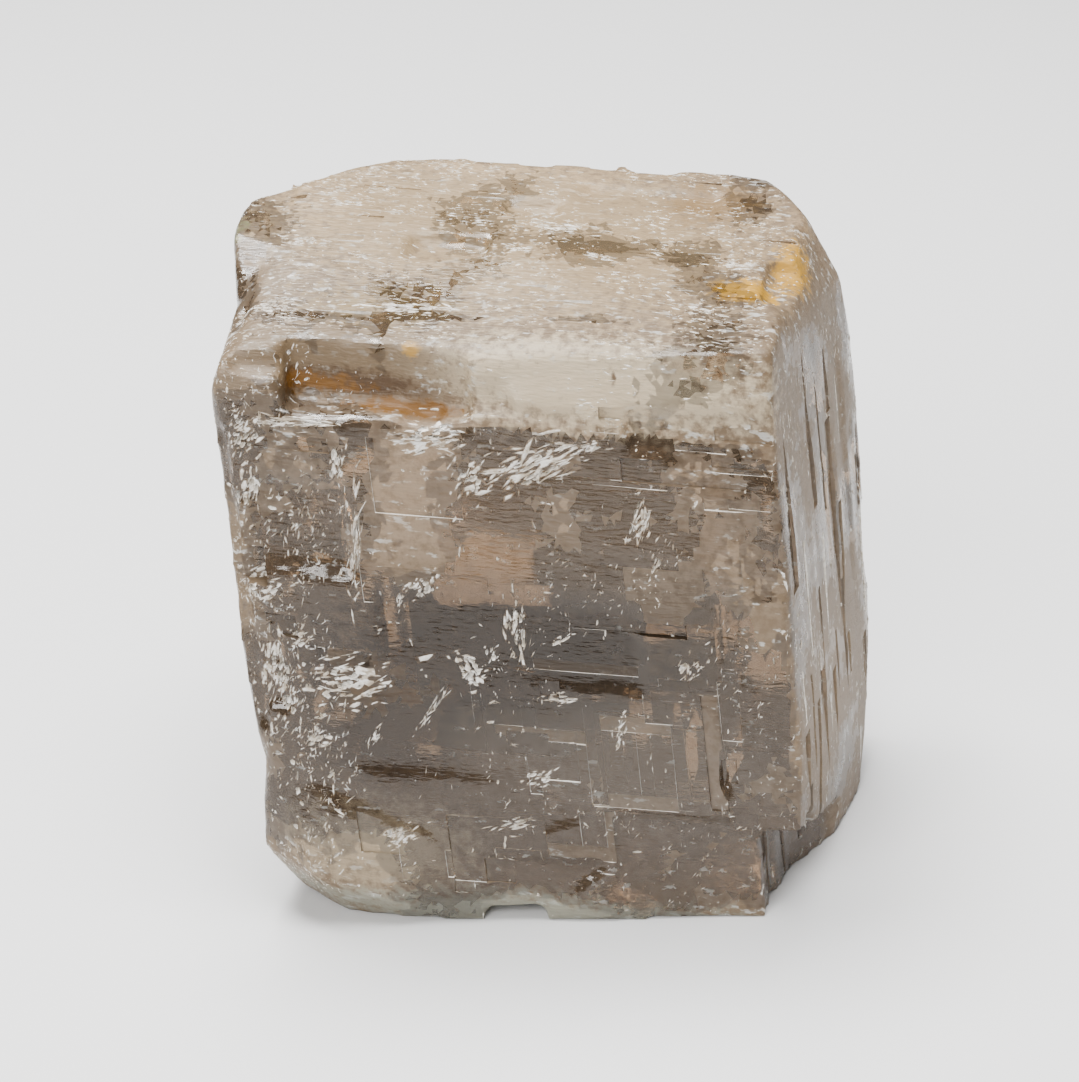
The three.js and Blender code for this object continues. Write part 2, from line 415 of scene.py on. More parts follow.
@dataclass(frozen=True)
class TornFlake:
    """How a scar's slivers are torn out.

    A sliver is a lump between a rim above the surface and a smaller foot below it. area is the
    scar's square millimetres for each sliver; drift, share, half_length, half_width and reach
    are shares of the scar's size, and tilt is how unevenly the foot lies. Turns and spreads are
    in radians.
    """

    area: float = 1.6
    most: int = 26
    drift: Span = (0.3, 0.4)
    share: Span = (0.5, 1.1)
    half_length: float = 0.55
    half_width: float = 0.5
    rim_points: int = 7
    rim_lift: float = 0.25
    foot_points: int = 4
    foot_size: float = 0.45
    jitter: float = 0.35
    reach: Span = (0.55, 1.1)
    tilt: Span = (0.6, 1.3)
    turn_spread: float = 0.25
    front_turns: Triple = (1.3, 1.3, 0.1)
    front_spread: float = 0.35
    side_spread: float = 0.2


@dataclass
class StoneShaper:
    """Turns the plain solid into the stone's fine mesh.

    voxel, smoothing, softness, kept_share and waves give the worn skin. reach is how far a cutter
    stands out of the stone. splits and longest_edge give the fineness of the flat steps.
    """

    axes: CleavageFrame
    voxel: float = 0.8
    smoothing: int = 3
    softness: float = 0.5
    kept_share: float = 0.55
    waves: tuple[Ripple, ...] = (Ripple(0.10, 0.16), Ripple(0.05, 0.55))
    reach: float = 12.0
    splits: int = 4
    longest_edge: float = 1.8
    wall_slots: tuple[Slot, ...] = (Slot.FROST, Slot.FROST, Slot.HAZE, Slot.VEIL)
    torn: TornFlake = TornFlake()
    crack_points: int = 11
    crack_jitter: float = 0.3
    crack_reach: Span = (0.82, 1.0)

    def copy_solid(self, node: bpy.types.Object, name: str) -> bpy.types.Object:
        """Copies the CAD solid in millimetres, with its doubled vertices joined.

        Args:
            node: The CAD node's object.
            name: The new piece's name.

        Returns:
            The new piece, with the stone's material slots.
        """
        shape = bmesh.new()
        shape.from_mesh(node.data)
        bmesh.ops.remove_doubles(shape, verts=shape.verts, dist=WELD)
        bmesh.ops.scale(shape, vec=Vector((1.0, 1.0, 1.0)) / MM, verts=shape.verts)
        mesh = bpy.data.meshes.new(name)
        add_slots(mesh)
        for face in shape.faces:
            face.material_index = int(Slot.CLEAR)
        shape.to_mesh(mesh)
        shape.free()
        return add_object(name, mesh)

    def wear(self, body: bpy.types.Object) -> None:
        """Softens the solid's edges and gives its old faces a grain.

        Args:
            body: The piece.
        """
        remesh = body.modifiers.new("skin", "REMESH")
        remesh.mode = "VOXEL"
        remesh.voxel_size = self.voxel
        smooth = body.modifiers.new("soften", "SMOOTH")
        smooth.factor = self.softness
        smooth.iterations = self.smoothing
        settle(body)
        normals = [vertex.normal.copy() for vertex in body.data.vertices]
        for vertex, normal in zip(body.data.vertices, normals):
            vertex.co += normal * pile(self.waves, vertex.co)
        thin = body.modifiers.new("thin", "DECIMATE")
        thin.ratio = self.kept_share
        settle(body)

    def refine(self, body: bpy.types.Object) -> None:
        """Splits the large flat faces that the steps leave, so that finishes can vary over them.

        Args:
            body: The piece.
        """
        shape = bmesh.new()
        shape.from_mesh(body.data)
        for _ in range(self.splits):
            long_edges = [
                edge
                for edge in shape.edges
                if edge.calc_length() > self.longest_edge
                and all(face.material_index != Slot.CRACK for face in edge.link_faces)
            ]
            bmesh.ops.subdivide_edges(shape, edges=long_edges, cuts=1)
            many_sided = [face for face in shape.faces if len(face.verts) > 3]
            bmesh.ops.triangulate(shape, faces=many_sided)
        shape.to_mesh(body.data)
        shape.free()

    def steps(self, carver: Carver, probe: Probe, spec: Scatter) -> None:
        """Adds shallow cleavage steps over a side.

        Args:
            carver: Takes the cells.
            probe: Knows the surface.
            spec: Where they go and how large they are.
        """
        draw = random.Random(spec.seed)
        for _ in range(spec.count):
            middle = [draw.uniform(*span) for span in spec.area]
            half = [draw_even(draw, sizes) / 2 for sizes in (spec.length, spec.width)]
            cut = draw.uniform(*spec.depth)
            surface = probe.depth(spec.side, middle)
            if surface is None:
                continue
            spans = [(at - reach, at + reach) for at, reach in zip(middle, half)]
            inner = surface - spec.side.sign * cut
            outer = surface + spec.side.sign * self.reach
            level = (min(inner, outer), max(inner, outer))
            cell = with_axis(spec.side.axis, spans, level)
            carver.cell(cell, spec.side, draw.choice(self.wall_slots))

    def plate(self, carver: Carver, probe: Probe, plate: Plate) -> None:
        """Adds a listed cleavage plate to what is cut.

        Args:
            carver: Takes the plate.
            probe: Knows the surface.
            plate: The plate.
        """
        middle = (sum(plate.across) / 2, sum(plate.down) / 2)
        surface = probe.depth(Side.FRONT, middle)
        if surface is not None:
            spans = (plate.across, plate.down, (surface - self.reach, surface + plate.depth))
            carver.cell(spans, Side.FRONT, plate.wall, plate.floor)

    def flake(self, carver: Carver, probe: Probe, bruise: Bruise, draw: random.Random) -> None:
        """Adds one frosted scar: a few overlapping slivers, torn along one direction.

        Args:
            carver: Takes the slivers.
            probe: Knows the surface.
            bruise: The scar.
            draw: Random numbers.
        """
        side = bruise.side
        along = Vector((math.cos(bruise.turn), math.sin(bruise.turn)))
        across = Vector((-along.y, along.x))
        torn = self.torn
        slivers = min(1 + int(bruise.width * bruise.length / torn.area), torn.most)
        for _ in range(slivers):
            shift = along * draw.uniform(-torn.drift[0], torn.drift[0]) * bruise.length
            shift += across * draw.uniform(-torn.drift[1], torn.drift[1]) * bruise.width
            middle = Vector(bruise.place) + shift * (slivers > 1)
            surface = probe.depth(side, middle)
            if surface is None:
                continue
            share = draw.uniform(*torn.share) / math.sqrt(slivers)
            length = bruise.length * torn.half_length * share
            width = bruise.width * torn.half_width * share
            corners = []
            rings = (
                (torn.rim_points, torn.rim_lift, 1.0),
                (torn.foot_points, -bruise.depth, torn.foot_size),
            )
            for ring, lift, size in rings:
                for number in range(ring):
                    angle = math.tau * (number + draw.uniform(-torn.jitter, torn.jitter)) / ring
                    reach = size * draw.uniform(*torn.reach)
                    offset = along * math.cos(angle) * length + across * math.sin(angle) * width
                    tilt = draw.uniform(*torn.tilt) if lift < 0 else 1.0
                    level = surface + side.sign * lift * tilt
                    place = [middle.x + offset.x * reach, middle.y + offset.y * reach]
                    corners.append(with_axis(side.axis, place, level))
            carver.lump(corners, Slot.FROST)

    def strew(self, carver: Carver, probe: Probe, spec: Scatter) -> None:
        """Adds small frosted scars at random over a side.

        Args:
            carver: Takes the slivers.
            probe: Knows the surface.
            spec: Where they go and how large they are.
        """
        draw = random.Random(spec.seed)
        torn = self.torn
        for _ in range(spec.count):
            place = (draw.uniform(*spec.area[0]), draw.uniform(*spec.area[1]))
            length = draw_even(draw, spec.length)
            width = draw_even(draw, spec.width)
            turn = draw.gauss(0.0, torn.turn_spread)
            if spec.side is Side.FRONT:
                turn = draw.choice(torn.front_turns) + draw.gauss(0.0, torn.front_spread)
            if spec.side in (Side.RIGHT, Side.LEFT):
                turn = draw.gauss(0.0, torn.side_spread)
            bruise = Bruise(spec.side, place, length, width, turn, draw.uniform(*spec.depth))
            self.flake(carver, probe, bruise, draw)

    def crack(self, carver: Carver, crack: Crack) -> None:
        """Adds an inner crack with a ragged outline.

        Args:
            carver: Takes its hollow.
            crack: The crack.
        """
        draw = random.Random(crack.seed)
        middle = [sum(span) / 2 for span in crack.spans]
        half = [(span[1] - span[0]) / 2 for span in crack.spans]
        corners = []
        for number in range(self.crack_points):
            shift = draw.uniform(-self.crack_jitter, self.crack_jitter)
            angle = math.tau * (number + shift) / self.crack_points
            spread = max(abs(math.cos(angle)), abs(math.sin(angle)))
            reach = draw.uniform(*self.crack_reach) / spread
            place = [
                middle[0] + half[0] * reach * math.cos(angle),
                middle[1] + half[1] * reach * math.sin(angle),
            ]
            for face in (-0.5, 0.5):
                corners.append(with_axis(crack.axis, place, crack.at + face * crack.gap))
        carver.lump(corners, Slot.CRACK)


@dataclass
class FleckCrust:
    """Small white slivers of bruised calcite that lie on the stone's surface.

    A sliver is a flat lens: its rim is sunk below the surface, its crown stands over it and its
    keel is depth below it. A scar's slivers are least_size and a share of the scar. Strewn ones
    stay where the clouds are high, and those along the edges where the edge clumps are.
    """

    body: bpy.types.Object
    axes: CleavageFrame
    sunk: float = 0.05
    depth: float = 0.16
    rim_points: int = 6
    jitter: float = 0.4
    rim_reach: Span = (0.5, 1.25)
    crown: Span = (0.02, 0.08)
    crown_growth: float = 0.3
    bruise_spread: float = 0.32
    bruise_turn: float = 0.22
    least_size: Span = (0.5, 0.2)
    length_share: Span = (0.04, 0.36)
    width_share: Span = (0.02, 0.20)
    clouds: tuple[Ripple, ...] = (Ripple(1.0, 0.09), Ripple(0.6, 0.31), Ripple(0.35, 0.9))
    cloud_blur: float = 0.45
    edge_clumps: Ripple = Ripple(1.6, 0.12)
    edge_turn: float = 0.2
    edge_length: Span = (0.5, 1.8)
    edge_width: Span = (0.12, 0.45)
    points: list[Vector] = field(default_factory=list)
    faces: list[tuple[int, int, int]] = field(default_factory=list)

    def __post_init__(self) -> None:
        """Reads the stone's finished surface."""
        self.probe = Probe(self.body, self.axes)

    def directions(self, side: Side) -> list[Vector]:
        """The two cleavage directions that run along a side."""
        return [self.axes.matrix.col[axis].to_3d() for axis in range(3) if axis != side.axis]

    def sliver(
        self, place: Vector, normal: Vector, along: Vector, size: Span, draw: random.Random
    ) -> None:
        """Adds one sliver, draped over the surface.

        Args:
            place: Its middle.
            normal: The surface's normal there.
            along: Its long way.
            size: Its length and width.
            draw: Random numbers.
        """
        along = (along - normal * along.dot(normal)).normalized()
        across = normal.cross(along)
        start = len(self.points)
        for number in range(self.rim_points):
            shift = draw.uniform(-self.jitter, self.jitter)
            angle = math.tau * (number + shift) / self.rim_points
            reach = draw.uniform(*self.rim_reach) / 2
            offset = along * math.cos(angle) * size[0] + across * math.sin(angle) * size[1]
            rim = place + offset * reach
            near, facing, _, _ = self.probe.tree.find_nearest(rim)
            self.points.append(near - facing * self.sunk)
        crown_height = draw.uniform(*self.crown)
        self.points.append(place + normal * crown_height * (1.0 + self.crown_growth * size[0]))
        self.points.append(place - normal * self.depth)
        crown, keel = len(self.points) - 2, len(self.points) - 1
        for number in range(self.rim_points):
            here = start + number
            there = start + (number + 1) % self.rim_points
            self.faces.append((here, there, crown))
            self.faces.append((there, here, keel))

    def bruise(self, bruise: Bruise, density: float, draw: random.Random) -> None:
        """Covers a listed scar with slivers that thin out from its middle.

        Args:
            bruise: The scar.
            density: Slivers for each square millimetre.
            draw: Random numbers.
        """
        directions = self.directions(bruise.side)
        for _ in range(int(bruise.length * bruise.width * density)):
            far = draw.gauss(0.0, self.bruise_spread) * bruise.length
            wide = draw.gauss(0.0, self.bruise_spread) * bruise.width
            cosine, sine = math.cos(bruise.turn), math.sin(bruise.turn)
            place = (
                bruise.place[0] + far * cosine - wide * sine,
                bruise.place[1] + far * sine + wide * cosine,
            )
            landed = self.probe.land(bruise.side, place)
            if landed is None:
                continue
            turn = bruise.turn + draw.gauss(0.0, self.bruise_turn)
            along = directions[0] * math.cos(turn) + directions[1] * math.sin(turn)
            size = (
                self.least_size[0] + bruise.length * draw.uniform(*self.length_share),
                self.least_size[1] + bruise.width * draw.uniform(*self.width_share),
            )
            self.sliver(*landed, along, size, draw)

    def strew(self, spec: FleckField) -> None:
        """Strews slivers over a side in ragged clumps.

        Args:
            spec: Where they go, how many are tried and how large they are.
        """
        draw = random.Random(spec.seed)
        directions = self.directions(spec.side)
        for _ in range(spec.count):
            place = (draw.uniform(*spec.area[0]), draw.uniform(*spec.area[1]))
            length = draw_even(draw, spec.length)
            width = draw_even(draw, spec.width)
            turn = draw.gauss(*spec.turns)
            shift = draw.random() * self.cloud_blur
            landed = self.probe.land(spec.side, place)
            if landed is None:
                continue
            if pile(self.clouds, landed[0]) + shift < spec.clump:
                continue
            along = directions[0] * math.cos(turn) + directions[1] * math.sin(turn)
            self.sliver(*landed, along, (length, width), draw)

    def edges(self, share: float, sharp: float, seed: int) -> None:
        """Strews slivers along the stone's sharp outer edges.

        Args:
            share: The share of edges that get one.
            sharp: The angle in radians from which an edge counts as sharp.
            seed: Seed of the draw.
        """
        draw = random.Random(seed)
        shape = bmesh.new()
        shape.from_mesh(self.body.data)
        for edge in shape.edges:
            if not edge.is_manifold or edge.calc_face_angle_signed() < sharp:
                continue
            if any(face.material_index == Slot.CRACK for face in edge.link_faces):
                continue
            middle = (edge.verts[0].co + edge.verts[1].co) / 2
            if draw.random() > share * (1.0 + self.edge_clumps.at(middle)):
                continue
            normal = (edge.link_faces[0].normal + edge.link_faces[1].normal).normalized()
            along = (edge.verts[1].co - edge.verts[0].co).normalized()
            along += Vector([draw.gauss(0.0, self.edge_turn) for _ in range(3)])
            size = (draw.uniform(*self.edge_length), draw.uniform(*self.edge_width))
            self.sliver(middle, normal, along, size, draw)
        shape.free()

    def build(self, name: str) -> bpy.types.Object:
        """Makes the slivers into one piece.

        Args:
            name: Its name.

        Returns:
            The piece, in millimetres.
        """
        mesh = bpy.data.meshes.new(name)
        mesh.from_pydata([tuple(point) for point in self.points], [], self.faces)
        mesh.materials.append(bpy.data.materials.get(Slot.FLECK.name))
        log.info("flecks: %d slivers", len(self.faces) // (2 * self.rim_points))
        return add_object(name, mesh)


# ---- The stone --------------------------------------------------------------------------


@dataclass(frozen=True)
class Zone:
    """A box of the stone, in cleavage millimetres, that is milkier than the rest.

    It is clearer than the rest where gain is below 0. border is how soft its edge is.
    """

    spans: tuple[Span, Span, Span]
    gain: float
    border: float = 4.0

    def share(self, place: Vector) -> float:
        """How much of the gain a point gets."""
        inside = min(min(at - low, high - at) for at, (low, high) in zip(place, self.spans))
        return self.gain * max(0.0, min(1.0, inside / self.border))


@dataclass
class CalciteBlock:
    """The calcite block: its fine mesh, its scars, its inner cracks and its slots.

    A face is milkier by its zones, clouds and streaks, and levels give the slot from each
    milkiness up. Frosted faces wider than widest_frost, their area over their rim, are made
    clear. Edges sharper than edge_sharp get slivers, and those sharper than crease stay sharp.
    """

    axes: CleavageFrame
    step_fields: tuple[Scatter, ...] = (
        Scatter(Side.FRONT, 26, ((0, 80), (14, 84)), (4, 26), (2, 12), (0.04, 0.22), 3),
        Scatter(Side.FRONT, 16, ((6, 44), (46, 70)), (2, 7), (1.5, 4), (0.04, 0.2), 4),
        Scatter(Side.FRONT, 14, ((2, 24), (8, 22)), (3, 12), (0.8, 2.5), (0.05, 0.3), 9),
        Scatter(Side.TOP, 26, ((0, 82), (6, 62)), (3, 14), (0.8, 3), (0.02, 0.08), 5),
        Scatter(Side.RIGHT, 34, ((14, 84), (2, 52)), (6, 34), (0.8, 4), (0.04, 0.2), 6),
        Scatter(Side.LEFT, 40, ((10, 88), (4, 54)), (4, 24), (2, 8), (0.06, 0.4), 7),
        Scatter(Side.BACK, 40, ((2, 76), (6, 88)), (4, 24), (3, 16), (0.06, 0.4), 8),
    )
    plates: tuple[Plate, ...] = (
        Plate((12.4, 23.8), (29.5, 48.6), 0.10, Slot.VEIL, Slot.VEIL),
        Plate((1.6, 6.8), (28.5, 47.0), 0.12, Slot.HAZE, Slot.FROST),
        Plate((23.4, 38.4), (46.6, 48.2), 0.16, Slot.VEIL),
        Plate((15.6, 32.2), (54.2, 56.6), 0.14, Slot.VEIL),
        Plate((32.0, 46.8), (57.2, 59.2), 0.14, Slot.VEIL),
        Plate((14.6, 31.8), (66.4, 68.6), 0.30, Slot.VEIL),
        Plate((22.6, 24.6), (49.6, 68.6), 0.12, Slot.CLEAR),
        Plate((17.2, 19.4), (49.6, 68.4), 0.12, Slot.CLEAR),
        Plate((29.6, 32.0), (51.8, 68.4), 0.12, Slot.CLEAR),
        Plate((39.2, 41.0), (50.4, 67.6), 0.12, Slot.CLEAR),
        Plate((12.2, 14.6), (50.0, 68.0), 0.34, Slot.VEIL),
        Plate((9.0, 12.0), (47.8, 57.0), 0.30, Slot.CLEAR),
        Plate((30.2, 42.6), (75.4, 77.8), 0.24, Slot.VEIL),
        Plate((29.0, 30.6), (69.4, 77.8), 0.24, Slot.VEIL),
        Plate((46.6, 48.0), (49.0, 62.0), 0.14, Slot.CLEAR),
    )
    bruise_fields: tuple[Scatter, ...] = (
        Scatter(Side.FRONT, 150, ((0, 80), (10, 86)), (0.6, 2.6), (0.3, 1.0), (0.15, 0.4), 13),
        Scatter(Side.FRONT, 70, ((68, 82), (8, 84)), (0.8, 3.6), (0.4, 1.4), (0.2, 0.5), 14),
        Scatter(Side.TOP, 120, ((2, 80), (4, 62)), (0.6, 3.4), (0.3, 0.9), (0.1, 0.25), 15),
        Scatter(Side.RIGHT, 90, ((8, 86), (0, 52)), (0.8, 4.0), (0.3, 1.0), (0.15, 0.4), 16),
        Scatter(Side.LEFT, 60, ((8, 88), (2, 56)), (1.0, 4.0), (0.4, 1.4), (0.15, 0.5), 17),
        Scatter(Side.BACK, 70, ((0, 76), (4, 90)), (1.0, 4.0), (0.4, 1.4), (0.15, 0.5), 18),
    )
    bruises: tuple[Bruise, ...] = (
        Bruise(Side.FRONT, (64.4, 52.4), 9.0, 6.0, 0.2, 0.7),
        Bruise(Side.FRONT, (47.6, 49.5), 4.0, 6.0, 0.3, 0.6),
        Bruise(Side.FRONT, (40.3, 42.1), 8.0, 2.6, 1.5, 0.6),
        Bruise(Side.FRONT, (44.4, 46.2), 2.6, 1.6, 1.2, 0.5),
        Bruise(Side.FRONT, (53.2, 37.2), 4.5, 3.4, 0.8, 0.6),
        Bruise(Side.FRONT, (56.4, 39.7), 3.0, 1.6, 1.2, 0.5),
        Bruise(Side.FRONT, (61.5, 31.0), 15.0, 1.6, 1.4, 0.5),
        Bruise(Side.FRONT, (62.5, 20.0), 6.0, 2.2, 1.3, 0.5),
        Bruise(Side.FRONT, (49.0, 14.9), 9.0, 4.0, 0.25, 0.7),
        Bruise(Side.FRONT, (35.5, 18.0), 12.0, 4.0, 0.45, 0.5),
        Bruise(Side.FRONT, (44.0, 20.0), 5.0, 4.0, 0.9, 0.5),
        Bruise(Side.FRONT, (26.6, 14.1), 4.0, 2.0, 0.4, 0.5),
        Bruise(Side.FRONT, (20.6, 24.1), 7.0, 2.4, 1.2, 0.6),
        Bruise(Side.FRONT, (68.0, 14.0), 14.0, 1.6, 0.05, 0.4),
        Bruise(Side.FRONT, (76.2, 39.2), 6.0, 4.0, 0.5, 0.6),
        Bruise(Side.FRONT, (76.0, 51.2), 8.0, 4.4, 1.3, 0.7),
        Bruise(Side.FRONT, (74.8, 56.5), 5.0, 3.0, 1.1, 0.6),
        Bruise(Side.FRONT, (75.6, 17.2), 6.0, 4.0, 0.9, 0.7),
        Bruise(Side.FRONT, (76.0, 25.0), 7.0, 3.4, 1.3, 0.6),
        Bruise(Side.FRONT, (71.4, 46.2), 4.0, 2.4, 0.6, 0.5),
        Bruise(Side.FRONT, (62.7, 60.7), 5.0, 1.2, 1.0, 0.4),
        Bruise(Side.FRONT, (71.4, 61.8), 5.0, 3.0, 0.6, 0.5),
        Bruise(Side.FRONT, (61.0, 75.6), 5.0, 3.0, 0.4, 0.6),
        Bruise(Side.FRONT, (44.4, 73.3), 6.0, 1.6, 0.3, 0.4),
        Bruise(Side.FRONT, (34.0, 43.1), 4.0, 1.2, 0.6, 0.4),
        Bruise(Side.FRONT, (19.3, 31.3), 5.0, 1.4, 1.2, 0.4),
        Bruise(Side.FRONT, (15.7, 46.1), 4.0, 2.4, 1.0, 0.5),
        Bruise(Side.FRONT, (26.9, 57.0), 6.0, 1.6, 1.2, 0.5),
        Bruise(Side.FRONT, (39.4, 65.1), 5.0, 2.0, 0.4, 0.4),
        Bruise(Side.FRONT, (35.0, 52.3), 6.0, 1.4, 0.1, 0.4),
        Bruise(Side.FRONT, (54.2, 56.2), 9.0, 1.0, 1.0, 0.4),
        Bruise(Side.TOP, (73.3, 14.1), 8.0, 3.6, 0.1, 0.5),
        Bruise(Side.TOP, (73.5, 31.3), 6.0, 3.0, 0.1, 0.4),
        Bruise(Side.TOP, (54.0, 14.6), 10.0, 3.0, 0.1, 0.4),
        Bruise(Side.TOP, (36.7, 39.6), 9.0, 3.0, 0.1, 0.3),
        Bruise(Side.TOP, (29.0, 30.1), 6.0, 2.4, 0.1, 0.3),
        Bruise(Side.TOP, (12.1, 16.0), 6.0, 2.4, 0.1, 0.3),
        Bruise(Side.TOP, (8.3, 30.9), 7.0, 3.0, 0.1, 0.3),
        Bruise(Side.TOP, (41.1, 31.1), 5.0, 2.0, 0.1, 0.3),
        Bruise(Side.TOP, (69.4, 43.8), 6.0, 2.6, 0.1, 0.3),
    )
    cracks: tuple[Crack, ...] = (
        Crack(1, 36.3, ((9, 78), (1.5, 44)), 51),
        Crack(1, 41.2, ((27, 56), (1.5, 16)), 52),
        Crack(1, 51.2, ((9, 45), (1.8, 24)), 53),
        Crack(1, 57.6, ((16, 40), (1.6, 13)), 54),
        Crack(1, 64.0, ((30, 70), (4, 34)), 55),
        Crack(1, 24.5, ((14, 66), (8, 40)), 56),
        Crack(0, 22.3, ((37, 63), (1.8, 30)), 57),
        Crack(0, 12.4, ((20, 67), (1.8, 18)), 58),
        Crack(0, 6.4, ((20, 48), (1.8, 32)), 59),
        Crack(0, 31.0, ((51, 67), (1.6, 11)), 60),
        Crack(0, 27.2, ((50, 66), (1.6, 9)), 61),
        Crack(0, 18.0, ((50, 67), (1.6, 10)), 62),
        Crack(0, 56.5, ((30, 62), (4, 26)), 63),
        Crack(2, 24.0, ((28, 58), (38, 66)), 64),
        Crack(2, 40.0, ((10, 44), (22, 60)), 65),
    )
    zones: tuple[Zone, ...] = (
        Zone(((-9, 99), (-9, 2), (-9, 90)), 0.62, 1.5),
        Zone(((-9, 99), (-9, 5), (12, 90)), 0.62, 1.5),
        Zone(((-9, 56), (-9, 13), (-9, 12)), 0.74, 1.0),
        Zone(((56, 99), (-9, 12), (-9, 12)), 0.25, 2.0),
        Zone(((-9, 99), (12, 37), (-9, 6)), 0.15),
        Zone(((74, 99), (-9, 99), (-9, 90)), 0.26, 5.0),
        Zone(((52, 99), (70, 99), (-9, 20)), 0.34, 6.0),
        Zone(((-20, 3), (-9, 99), (-9, 90)), 0.36, 2.0),
        Zone(((-20, 99), (-9, 99), (64, 99)), 0.22, 8.0),
        Zone(((-20, 99), (84, 120), (-9, 99)), 0.45, 3.0),
        Zone(((8, 66), (36, 84), (-9, 6)), -0.22, 3.0),
    )
    widest_frost: float = 0.17
    levels: tuple[tuple[float, Slot], ...] = ((0.42, Slot.HAZE), (0.20, Slot.VEIL))
    clouds: tuple[Ripple, ...] = (Ripple(0.9, 0.07), Ripple(0.22, 0.35), Ripple(0.14, 1.7))
    streaks: Ripple = Ripple(0.14, 1.0)
    streak_tightness: Triple = (1.1, 0.24, 1.1)
    fleck_fields: tuple[FleckField, ...] = (
        FleckField(Side.FRONT, 5200, ((-2, 84), (8, 90)), (0.3, 1.5), (0.12, 0.4), 71, 0.45, (1.2, 0.5)),
        FleckField(Side.FRONT, 1500, ((66, 86), (4, 90)), (0.4, 2.2), (0.15, 0.5), 72, 0.10, (1.3, 0.4)),
        FleckField(Side.TOP, 7500, ((-2, 88), (-2, 66)), (0.4, 2.6), (0.15, 0.6), 73, 0.26, (0.0, 0.25)),
        FleckField(Side.RIGHT, 2200, ((2, 92), (0, 58)), (0.6, 3.2), (0.15, 0.5), 74, 0.46, (0.0, 0.2)),
        FleckField(Side.LEFT, 2500, ((0, 92), (0, 62)), (0.4, 2.2), (0.12, 0.5), 75, 0.35, (0.0, 0.4)),
        FleckField(Side.BACK, 3500, ((-4, 84), (0, 92)), (0.4, 2.2), (0.12, 0.5), 76, 0.40, (1.3, 0.4)),
    )
    flecks_per_area: float = 1.6
    edge_share: float = 0.06
    edge_sharp: float = math.radians(32)
    flake_seed: int = 29
    bruise_seed: int = 31
    edge_seed: int = 77
    crease: float = math.radians(28)

    def dull_wide_walls(self, body: bpy.types.Object) -> None:
        """Takes the frost off broad flat faces, which it would turn into white tiles.

        Args:
            body: The stone, in millimetres.
        """
        mesh = body.data
        for face in mesh.polygons:
            if face.material_index != Slot.FROST:
                continue
            corners = [mesh.vertices[index].co for index in face.vertices]
            rim = sum((here - there).length for here, there in zip(corners, corners[1:] + corners[:1]))
            if face.area / rim > self.widest_frost:
                face.material_index = int(Slot.CLEAR)

    def weather(self, body: bpy.types.Object) -> None:
        """Gives the milky zones and scattered patches their hazier finishes.

        Args:
            body: The stone, in millimetres.
        """
        inverse = self.axes.matrix.inverted()
        for face in body.data.polygons:
            if face.material_index != Slot.CLEAR:
                continue
            centre = face.center
            place = inverse @ centre
            milk = pile(self.clouds, centre)
            drawn = [tightness * at for tightness, at in zip(self.streak_tightness, place)]
            milk += self.streaks.at(Vector(drawn))
            shares = [zone.share(place) for zone in self.zones]
            milk += max(shares) + min(shares)
            for level, slot in self.levels:
                if milk > level:
                    face.material_index = int(slot)
                    break

    def flecks(self, body: bpy.types.Object) -> bpy.types.Object:
        """Makes the white slivers that lie on the stone.

        Args:
            body: The finished stone, in millimetres.

        Returns:
            Their piece, in metres.
        """
        crust = FleckCrust(body, self.axes)
        draw = random.Random(self.bruise_seed)
        for bruise in self.bruises:
            crust.bruise(bruise, self.flecks_per_area, draw)
        for spec in self.fleck_fields:
            crust.strew(spec)
        crust.edges(self.edge_share, self.edge_sharp, self.edge_seed)
        piece = crust.build("calcite_flecks")
        piece.data.transform(Matrix.Scale(MM, 4))
        return piece

    def build(self, node: bpy.types.Object) -> list[bpy.types.Object]:
        """Makes the stone.

        Args:
            node: The CAD solid that it stands for.

        Returns:
            The stone's piece and its flecks.
        """
        shaper = StoneShaper(self.axes)
        body = shaper.copy_solid(node, "calcite_stone")
        shaper.wear(body)
        log.info("worn skin: %d faces", len(body.data.polygons))
        carver = Carver(body, self.axes)
        probe = Probe(body, self.axes)
        for spec in self.step_fields:
            shaper.steps(carver, probe, spec)
        for plate in self.plates:
            shaper.plate(carver, probe, plate)
        log.info("cleavage steps cut: %d", carver.cut())
        probe = Probe(body, self.axes)
        draw = random.Random(self.flake_seed)
        for bruise in self.bruises:
            shaper.flake(carver, probe, bruise, draw)
        for spec in self.bruise_fields:
            shaper.strew(carver, probe, spec)
        log.info("scars cut: %d", carver.cut())
        for crack in self.cracks:
            shaper.crack(carver, crack)
        log.info("inner cracks: %d", carver.cut())
        self.dull_wide_walls(body)
        shaper.refine(body)
        self.weather(body)
        flecks = self.flecks(body)
        body.data.transform(Matrix.Scale(MM, 4))
        body.data.shade_smooth()
        body.data.set_sharp_from_angle(angle=self.crease)
        log.info("stone: %d faces", len(body.data.polygons))
        return [body, flecks]


# ---- Shared shader effects --------------------------------------------------------------

Socket = bpy.types.NodeSocket


